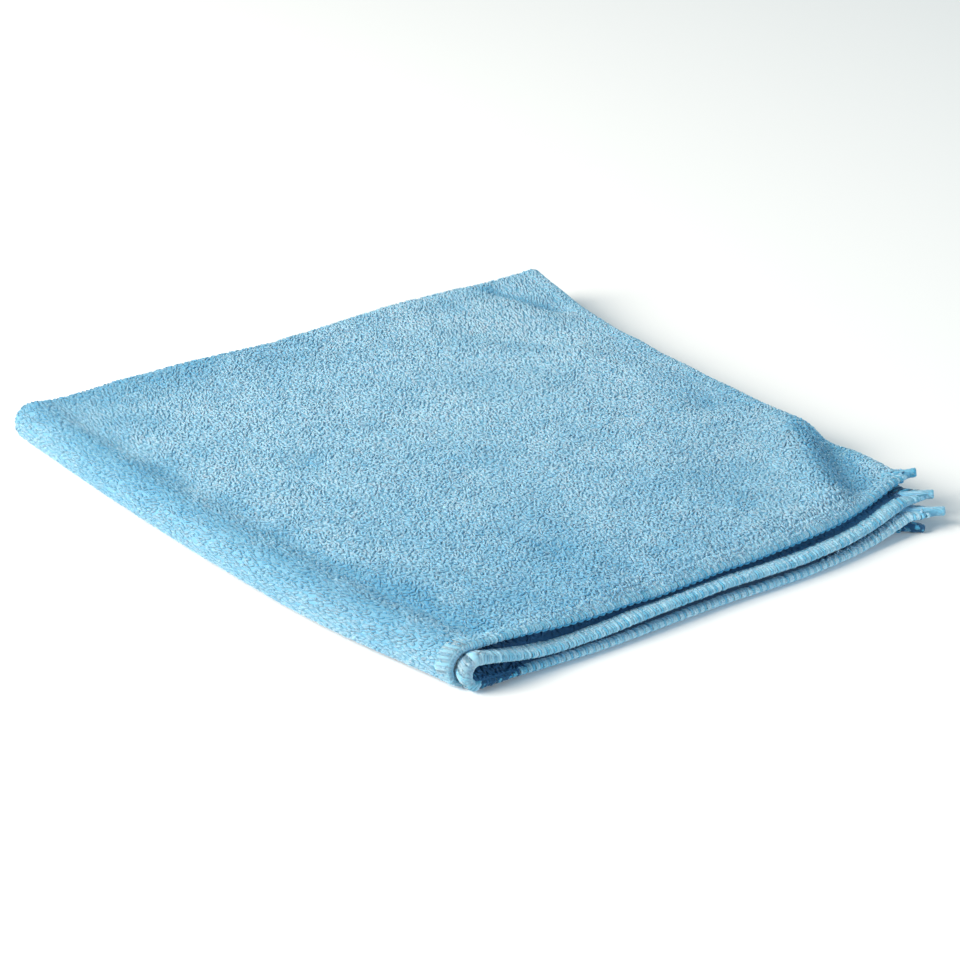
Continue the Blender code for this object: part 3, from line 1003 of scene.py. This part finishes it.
def make_stitches(edge, seed):
    """Strands that wrap one edge of the cloth."""
    random = np.random.default_rng(seed)
    places = stitch_places(edge)
    gap = np.gradient(places)
    strand = (np.arange(STRANDS_PER_STITCH) + 0.5) / STRANDS_PER_STITCH - 0.5
    place = np.repeat(places, STRANDS_PER_STITCH)[:, None]
    offset = (gap[:, None] * strand[None]).reshape(-1, 1)
    scale = np.repeat(gap, STRANDS_PER_STITCH)[:, None] / STITCH_PITCH
    count = len(place)
    at_fold = np.exp(-((place / FOLD_REACH) ** 2)) * (edge["faces"] == "depth")
    along = (
        place
        + offset * mix(STRAND["spread"], 1.0, at_fold)
        + STRAND["slant"] * scale
        + random.normal(0.0, STRAND_WANDER, (count, 1))
    )
    along = np.clip(along, -PLY_SIDE + STRAND_END, PLY_SIDE - STRAND_END)
    inset = STRAND["inset"] * random.normal(1.0, INSET_SPREAD, (count, 1))
    point, normal, along_width, along_depth = cloth_frame(*on_edge(edge, along, inset))
    outward = (along_depth if edge["faces"] == "depth" else along_width) * edge["sign"]

    dark = sunk = np.zeros(along.shape)
    if edge["name"] == "front_inner":
        dark, sunk = between_plies_shade(place)
    height = STRAND["height"] * random.normal(1.0, HEIGHT_SPREAD, (count, 1))
    height = height * (1.0 - SINK * sunk) * (1.0 + FOLD_BACK_HEIGHT * at_fold * ON_BACK)
    from_corner = PLY_SIDE - np.abs(along)
    height = height * mix(CORNER_HEIGHT, 1.0, smooth_step(from_corner, *CORNER_SPAN))
    path = point + normal * height[..., None]

    stitch = path.reshape(-1, STRANDS_PER_STITCH, *path.shape[1:])[:, :, 1:-1]
    apart = np.linalg.norm(stitch[:, -1] - stitch[:, 0], axis=-1) / (STRANDS_PER_STITCH - 1)
    width = np.repeat(apart, STRANDS_PER_STITCH, axis=0) * STRAND_OVERLAP
    width = width * (1.0 + FOLD_WIDTH * at_fold)
    thick = np.full(width.shape, STRAND_HEIGHT)
    up = strand_ups(normal, outward)
    shade, rise = strand_tone(edge, place, at_fold, dark, random)
    return tubes(
        "stitches_" + edge["name"], path, up, width, thick, STRAND_SIDES, shade, rise
    )


def make_rim(edge):
    """The chained rim that runs along one edge, outside the wraps."""
    places = stitch_places(edge)
    steps = np.arange(len(places) * RIM_STEPS) / RIM_STEPS
    at = np.interp(steps, np.arange(len(places)), places)
    phase = steps * 2.0 * math.pi
    inset = RIM_INSET - RIM_INSET_WAVE * np.cos(phase)
    point, normal, _, _ = cloth_frame(*on_edge(edge, at, inset))
    path = point + normal * (RIM_SWAY * np.sin(phase))[:, None]
    path[:, 2] -= edge["rim_sag"] * smooth_step(np.abs(at), *RIM_SAG_SPAN)
    thick = (RIM_GIRTH + RIM_GIRTH_WAVE * np.cos(phase)) * edge["rim_size"]
    from_corner = PLY_SIDE - np.abs(at)
    thick = thick * mix(RIM_END_SIZE, 1.0, smooth_step(from_corner, *RIM_END_SPAN))
    thick = thick[None, 1:-1]
    rise = np.ones((1, len(at)))
    if edge["name"] == "front_inner":
        rise = rise - FOLD_DROP * fold_shade(at)
    shade = np.array([edge["rim_shade"]])
    return tubes(
        "rim_" + edge["name"], path[None], normal[None, 1:-1], thick, thick, RIM_SIDES,
        shade, rise,
    )


def make_tails(seed):
    """The thread tails at the cloth's four corners: plump strands, lightly twisted."""
    random = np.random.default_rng(seed)
    run = np.linspace(0.0, 1.0, TAIL_RINGS)
    inset = mix(*TAIL_INSETS, run)
    grown = smooth_step(run, *TAIL_GROWTH)
    broad = mix(*TAIL_BREADTHS, smooth_step(run, *TAIL_NARROWING)) * grown
    deep = mix(*TAIL_DEPTHS, grown)
    thread = mix(*TAIL_THREADS, grown)[1:-1]
    paths, ups = [], []
    for width_sign, depth_sign in ((1.0, 1.0), (1.0, -1.0), (-1.0, 1.0), (-1.0, -1.0)):
        point, normal, _, _ = cloth_frame(
            width_sign * (PLY_SIDE - inset), depth_sign * (PLY_SIDE - inset)
        )
        along = unit(np.gradient(point, axis=0))
        across = unit(np.cross(normal, along))
        start = random.uniform(0.0, 2.0 * math.pi)
        for strand in range(TAIL_STRANDS):
            turn = start + strand * 2.0 * math.pi / TAIL_STRANDS + run * TAIL_TWIST
            wave = np.sin(run * TAIL_WAVES + TAIL_WAVE_SHIFT * strand + start)
            side = (broad + TAIL_WANDER * wave * grown) * np.cos(turn)
            lift = deep * np.sin(turn)
            paths.append(point + across * side[:, None] + normal * lift[:, None])
            up = across * np.cos(turn)[:, None] + normal * np.sin(turn)[:, None]
            ups.append(unit(up)[1:-1])
    count = len(paths)
    width = np.tile(thread, (count, 1))
    shade = np.repeat(TAIL_SHADES, TAIL_STRANDS)
    shade = shade + random.normal(0.0, TAIL_SHADE_SPREAD, count)
    rise = 1.0 + random.normal(0.0, TAIL_RISE_SPREAD, (count, TAIL_RINGS))
    second = slice(TAIL_STRANDS, 2 * TAIL_STRANDS)
    lowest = slice(2 * TAIL_STRANDS, 3 * TAIL_STRANDS)
    rise[second] -= SECOND_TAIL_DROP * (1.0 - smooth_step(run, *SECOND_TAIL_SPAN))
    rise[lowest] -= LOWEST_TAIL_DROP * (1.0 - smooth_step(run, *LOWEST_TAIL_SPAN))
    point_share = smooth_step(run, *LOWEST_TAIL_POINT)
    width[lowest] *= mix(*LOWEST_TAIL_SIZES, point_share)[1:-1]
    return tubes(
        "corner_tails", np.array(paths), np.array(ups), width, width, TAIL_SIDES, shade, rise
    )


# ---------------- the colours
# The blues of the fabric, from its deepest to its palest places. The ground's is
# deeper than the pile's, partly as painted shade between the loops.
FABRICS = table(
    ("name", "deep", "pale", "sheen", "soak", "fibre_scale", "fibre_strength"),
    ("ground_blue", (0.01, 0.13, 0.22), (0.18, 0.43, 0.62), 0.4, 0.4, 900.0, 0.8),
    ("pile_blue", (0.05, 0.265, 0.49), (0.34, 0.57, 0.77), 0.6, 0.5, 2500.0, 0.5),
    # Painted shade, for the loops in the dark between the plies.
    ("inner_blue", (0.002, 0.04, 0.12), (0.010, 0.10, 0.22), 0.1, 0.2, 2500.0, 0.5),
    ("thread_blue", (0.05, 0.31, 0.53), (0.34, 0.61, 0.82), 0.6, 0.5, 2500.0, 0.4),
)
# The blue where no light comes, and between which tones the blues turn pale.
HIDDEN_BLUE = (0.004, 0.07, 0.17)
TONE_SPAN = (0.05, 0.95)
# How much a loop's own shade and a point's rise along it count in its tone.
SHADE_WEIGHT = 0.80
RISE_WEIGHT = 0.20
# Broad patches are a little deeper than the rest.
PATCH_SCALE = 55.0
PATCH_SPAN = (0.35, 0.65)
PATCH_TINT = (0.86, 0.93, 0.96)
NOISE_DETAIL = 2.0
# What all the blues share.
FABRIC_LOOK = {
    "Roughness": 0.8,
    "Specular IOR Level": 0.4,
    "Sheen Roughness": 0.4,
    "Sheen Tint": (0.72, 0.92, 1.0, 1.0),
    "Subsurface Radius": (0.35, 0.8, 1.0),
    "Subsurface Scale": 0.0016,
}
FIBRE_HEIGHT = 0.0003
PALE_GREY = (0.90, 0.90, 0.90, 1.0)


def noise_node(nodes, links, scale):
    """Random patches of the given fineness, fixed to the cloth."""
    place = nodes.new("ShaderNodeTexCoord")
    noise = nodes.new("ShaderNodeTexNoise")
    noise.inputs["Scale"].default_value = scale
    noise.inputs["Detail"].default_value = NOISE_DETAIL
    links.new(place.outputs["Object"], noise.inputs["Vector"])
    return noise


def ramp_node(nodes, span, first, last):
    """Turns a value into a colour: the first one up to the span, the last beyond it."""
    ramp = nodes.new("ShaderNodeValToRGB")
    for element, position, colour in zip(ramp.color_ramp.elements, span, (first, last)):
        element.position = position
        element.color = (*colour, 1.0)
    return ramp


def tone_node(nodes, links):
    """Tone of a point, from its tube's shade and its own rise, which carries painted shade."""
    shade = nodes.new("ShaderNodeAttribute")
    shade.attribute_name = "shade"
    rise = nodes.new("ShaderNodeAttribute")
    rise.attribute_name = "rise"
    lifted = nodes.new("ShaderNodeMath")
    lifted.operation = "MULTIPLY"
    lifted.inputs[1].default_value = RISE_WEIGHT
    links.new(rise.outputs["Fac"], lifted.inputs[0])
    tone = nodes.new("ShaderNodeMath")
    tone.operation = "MULTIPLY_ADD"
    tone.inputs[1].default_value = SHADE_WEIGHT
    links.new(shade.outputs["Fac"], tone.inputs[0])
    links.new(lifted.outputs[0], tone.inputs[2])
    return tone


def fabric_material(fabric):
    """Blue fabric with painted shade at the roots, pale at the crests, each loop its own shade.
    """
    material = bpy.data.materials.new(fabric["name"])
    material.use_nodes = True
    nodes = material.node_tree.nodes
    links = material.node_tree.links
    shader = nodes["Principled BSDF"]
    for key, value in FABRIC_LOOK.items():
        shader.inputs[key].default_value = value
    shader.inputs["Sheen Weight"].default_value = fabric["sheen"]
    shader.inputs["Subsurface Weight"].default_value = fabric["soak"]

    tone = tone_node(nodes, links)
    colour = ramp_node(nodes, TONE_SPAN, fabric["deep"], fabric["pale"])
    hidden = colour.color_ramp.elements.new(0.0)
    hidden.color = (*HIDDEN_BLUE, 1.0)
    links.new(tone.outputs[0], colour.inputs["Fac"])

    patches = noise_node(nodes, links, PATCH_SCALE)
    patch_tone = ramp_node(nodes, PATCH_SPAN, PATCH_TINT, (1.0, 1.0, 1.0))
    links.new(patches.outputs["Fac"], patch_tone.inputs["Fac"])
    tinted = nodes.new("ShaderNodeMix")
    tinted.data_type = "RGBA"
    tinted.blend_type = "MULTIPLY"
    tinted.inputs["Factor"].default_value = 1.0
    links.new(colour.outputs["Color"], tinted.inputs["A"])
    links.new(patch_tone.outputs["Color"], tinted.inputs["B"])
    links.new(tinted.outputs["Result"], shader.inputs["Base Color"])

    fibres = noise_node(nodes, links, fabric["fibre_scale"])
    bump = nodes.new("ShaderNodeBump")
    bump.inputs["Strength"].default_value = fabric["fibre_strength"]
    bump.inputs["Distance"].default_value = FIBRE_HEIGHT
    links.new(fibres.outputs["Fac"], bump.inputs["Height"])
    links.new(bump.outputs["Normal"], shader.inputs["Normal"])
    return material


def floor_material():
    """Matt floor."""
    material = bpy.data.materials.new("pale_floor")
    material.use_nodes = True
    shader = material.node_tree.nodes["Principled BSDF"]
    shader.inputs["Base Color"].default_value = PALE_GREY
    shader.inputs["Roughness"].default_value = 0.9
    return material


# ---------------- the stage
FLOOR_SIZE = 6.0
# The floor lies just under the cloth.
FLOOR_HEIGHT = -0.0002
LIGHTS = table(
    ("name", "place", "size", "power", "colour"),
    ("key_light", (-1.20, 0.35, 0.74), 0.9, 39.0, (1.0, 0.92, 0.82)),
    ("top_light", (-0.1, 0.75, 1.0), 0.9, 4.0, (1.0, 0.92, 0.82)),
    ("front_light", (0.3, -1.6, 0.36), 1.2, 18.0, (0.93, 0.97, 1.0)),
)
SKY_COLOUR = (0.50, 0.82, 1.0)
SKY_STRENGTH = 0.30
# The photograph's view, with angles in degrees, and sensor and lens in millimetres.
CAMERA_AZIMUTH = -37.53
CAMERA_ELEVATION = 25.62
CAMERA_DISTANCE = 1.096
CAMERA_TARGET = (0.00044, -0.00058, 0.0)
SENSOR = 36.0
LENS = 131.25


def make_lights():
    """Three round lights that face the cloth, and the sky."""
    for lamp in LIGHTS:
        data = bpy.data.lights.new(lamp["name"], "AREA")
        data.shape = "DISK"
        data.size = lamp["size"]
        data.energy = lamp["power"]
        data.color = lamp["colour"]
        light = bpy.data.objects.new(lamp["name"], data)
        light.location = lamp["place"]
        light.rotation_euler = Vector(lamp["place"]).to_track_quat("Z", "Y").to_euler()
        bpy.context.scene.collection.objects.link(light)

    world = bpy.data.worlds.new("studio")
    world.use_nodes = True
    background = world.node_tree.nodes["Background"]
    background.inputs["Color"].default_value = (*SKY_COLOUR, 1.0)
    background.inputs["Strength"].default_value = SKY_STRENGTH
    bpy.context.scene.world = world
    bpy.context.scene.view_settings.view_transform = "Standard"


def make_camera():
    """The camera, aimed at the middle of the cloth."""
    azimuth = math.radians(CAMERA_AZIMUTH)
    elevation = math.radians(CAMERA_ELEVATION)
    back = Vector((
        math.sin(azimuth) * math.cos(elevation),
        -math.cos(azimuth) * math.cos(elevation),
        math.sin(elevation),
    ))
    data = bpy.data.cameras.new("camera")
    data.lens = LENS
    data.sensor_width = SENSOR
    camera = bpy.data.objects.new("camera", data)
    camera.location = Vector(CAMERA_TARGET) + back * CAMERA_DISTANCE
    camera.rotation_euler = back.to_track_quat("Z", "Y").to_euler()
    bpy.context.scene.collection.objects.link(camera)
    bpy.context.scene.camera = camera


def make_stage():
    """The floor, the lights and the camera."""
    bpy.ops.mesh.primitive_plane_add(size=FLOOR_SIZE, location=(0.0, 0.0, FLOOR_HEIGHT))
    floor = bpy.context.object
    floor.name = "floor"
    floor.data.materials.append(floor_material())
    make_lights()
    make_camera()


# ---------------- the scene
# Seeds of the first pile, of the first edge's stitches and of the tails.
PILE_SEED = 100
STITCH_SEED = 200
TAIL_SEED = 400


def main():
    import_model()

    for leftover in ("Cube", "Light", "Camera"):
        if leftover in bpy.data.objects:
            bpy.data.objects.remove(bpy.data.objects[leftover])

    ground = make_ground()
    piles = [make_pile(pile, seed) for seed, pile in enumerate(PILES, PILE_SEED)]
    stitches = [make_stitches(edge, seed) for seed, edge in enumerate(EDGES, STITCH_SEED)]
    stitches += [make_rim(edge) for edge in EDGES]
    stitches.append(make_tails(TAIL_SEED))

    blues = {fabric["name"]: fabric_material(fabric) for fabric in FABRICS}
    ground.data.materials.append(blues["ground_blue"])
    for piece in piles:
        # The loops in the dark between the plies get a blue of painted shade.
        blue = "inner_blue" if piece.name in DARK_PILES else "pile_blue"
        piece.data.materials.append(blues[blue])
    for piece in stitches:
        piece.data.materials.append(blues["thread_blue"])

    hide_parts("cloth")
    for piece in [ground] + piles + stitches:
        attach(piece, "root")
    make_stage()


main()
